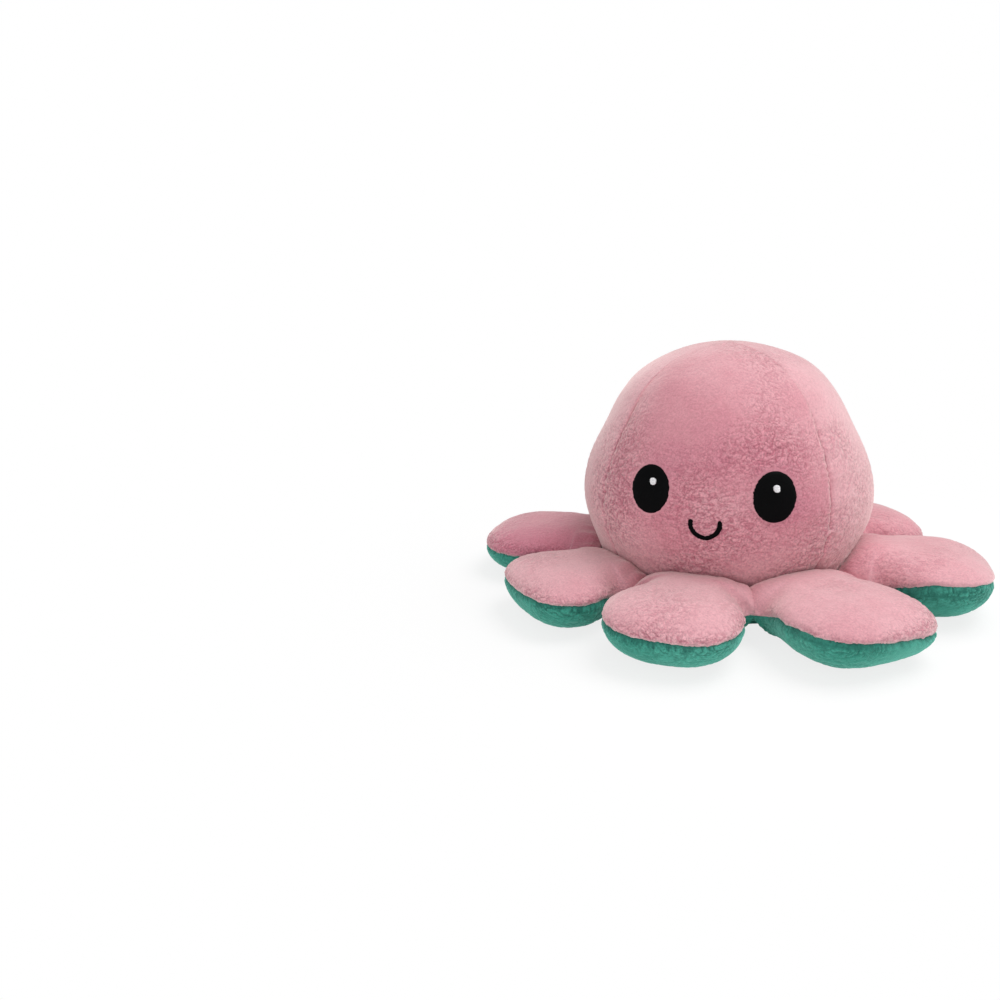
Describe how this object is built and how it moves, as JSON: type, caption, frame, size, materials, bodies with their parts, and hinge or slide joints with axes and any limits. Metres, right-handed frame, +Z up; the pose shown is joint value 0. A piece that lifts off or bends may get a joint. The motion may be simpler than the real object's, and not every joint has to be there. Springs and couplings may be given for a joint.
{
  "type": "plush octopus",
  "caption": "Reversible plush octopus, pink side out: stuffed round head with an embroidered smile, teal pocket tucked up inside, and stuffed tentacles that bend at their roots.",
  "frame": {"origin": "under the middle of the head, on the surface that the toy stands on", "axes": "+Z up through the crown, the smiling face looks along -Y, +X to the right of someone who looks at the face"},
  "size_m": [0.2026, 0.2026, 0.1024],
  "materials": {
    "pink_plush": "short-pile velour plush, matte with a soft sheen",
    "teal_plush": "short-pile velour plush, matte with a soft sheen",
    "black_thread": "satin-stitched embroidery thread",
    "white_thread": "satin-stitched embroidery thread",
    "polyester_fibre": "loose white polyester filling"
  },
  "bodies": {
    "head": {"face_panel": "pink_plush", "right_head_panel": "pink_plush", "back_head_panel": "pink_plush", "left_head_panel": "pink_plush", "pocket_face_panel": "teal_plush", "pocket_right_panel": "teal_plush", "pocket_back_panel": "teal_plush", "pocket_left_panel": "teal_plush", "upper_skirt_ring": "pink_plush", "lower_skirt_ring": "teal_plush", "head_stuffing": "polyester_fibre", "left_eye": "black_thread", "right_eye": "black_thread", "left_eye_glint": "white_thread", "right_eye_glint": "white_thread", "smile": "black_thread", "inner_left_eye": "black_thread", "inner_right_eye": "black_thread", "inner_left_eye_glint": "white_thread", "inner_right_eye_glint": "white_thread", "inner_frown": "black_thread"},
    "tentacle_1": {"tentacle_1_top": "pink_plush", "tentacle_1_underside": "teal_plush", "tentacle_1_stuffing": "polyester_fibre"},
    "tentacle_2": {"tentacle_2_top": "pink_plush", "tentacle_2_underside": "teal_plush", "tentacle_2_stuffing": "polyester_fibre"},
    "tentacle_3": {"tentacle_3_top": "pink_plush", "tentacle_3_underside": "teal_plush", "tentacle_3_stuffing": "polyester_fibre"},
    "tentacle_4": {"tentacle_4_top": "pink_plush", "tentacle_4_underside": "teal_plush", "tentacle_4_stuffing": "polyester_fibre"},
    "tentacle_5": {"tentacle_5_top": "pink_plush", "tentacle_5_underside": "teal_plush", "tentacle_5_stuffing": "polyester_fibre"},
    "tentacle_6": {"tentacle_6_top": "pink_plush", "tentacle_6_underside": "teal_plush", "tentacle_6_stuffing": "polyester_fibre"},
    "tentacle_7": {"tentacle_7_top": "pink_plush", "tentacle_7_underside": "teal_plush", "tentacle_7_stuffing": "polyester_fibre"},
    "tentacle_8": {"tentacle_8_top": "pink_plush", "tentacle_8_underside": "teal_plush", "tentacle_8_stuffing": "polyester_fibre"}
  },
  "joints": [
    {"name": "tentacle_1_lift", "type": "hinge", "parent": "head", "child": "tentacle_1", "pos_m": [-0.00316, -0.05173, 0.014], "axis": [-0.9981, 0.061, 0], "range_deg": [-20, 30], "stiffness_Nm_per_rad": 0.03},
    {"name": "tentacle_2_lift", "type": "hinge", "parent": "head", "child": "tentacle_2", "pos_m": [0.03434, -0.03882, 0.014], "axis": [-0.749, -0.6626, 0], "range_deg": [-20, 30], "stiffness_Nm_per_rad": 0.03},
    {"name": "tentacle_3_lift", "type": "hinge", "parent": "head", "child": "tentacle_3", "pos_m": [0.05173, -0.00316, 0.014], "axis": [-0.061, -0.9981, 0], "range_deg": [-20, 30], "stiffness_Nm_per_rad": 0.03},
    {"name": "tentacle_4_lift", "type": "hinge", "parent": "head", "child": "tentacle_4", "pos_m": [0.03882, 0.03434, 0.014], "axis": [0.6626, -0.749, 0], "range_deg": [-20, 30], "stiffness_Nm_per_rad": 0.03},
    {"name": "tentacle_5_lift", "type": "hinge", "parent": "head", "child": "tentacle_5", "pos_m": [0.00316, 0.05173, 0.014], "axis": [0.9981, -0.061, 0], "range_deg": [-20, 30], "stiffness_Nm_per_rad": 0.03},
    {"name": "tentacle_6_lift", "type": "hinge", "parent": "head", "child": "tentacle_6", "pos_m": [-0.03434, 0.03882, 0.014], "axis": [0.749, 0.6626, 0], "range_deg": [-20, 30], "stiffness_Nm_per_rad": 0.03},
    {"name": "tentacle_7_lift", "type": "hinge", "parent": "head", "child": "tentacle_7", "pos_m": [-0.05173, 0.00316, 0.014], "axis": [0.061, 0.9981, 0], "range_deg": [-20, 30], "stiffness_Nm_per_rad": 0.03},
    {"name": "tentacle_8_lift", "type": "hinge", "parent": "head", "child": "tentacle_8", "pos_m": [-0.03882, -0.03434, 0.014], "axis": [-0.6626, 0.749, 0], "range_deg": [-20, 30], "stiffness_Nm_per_rad": 0.03}
  ]
}
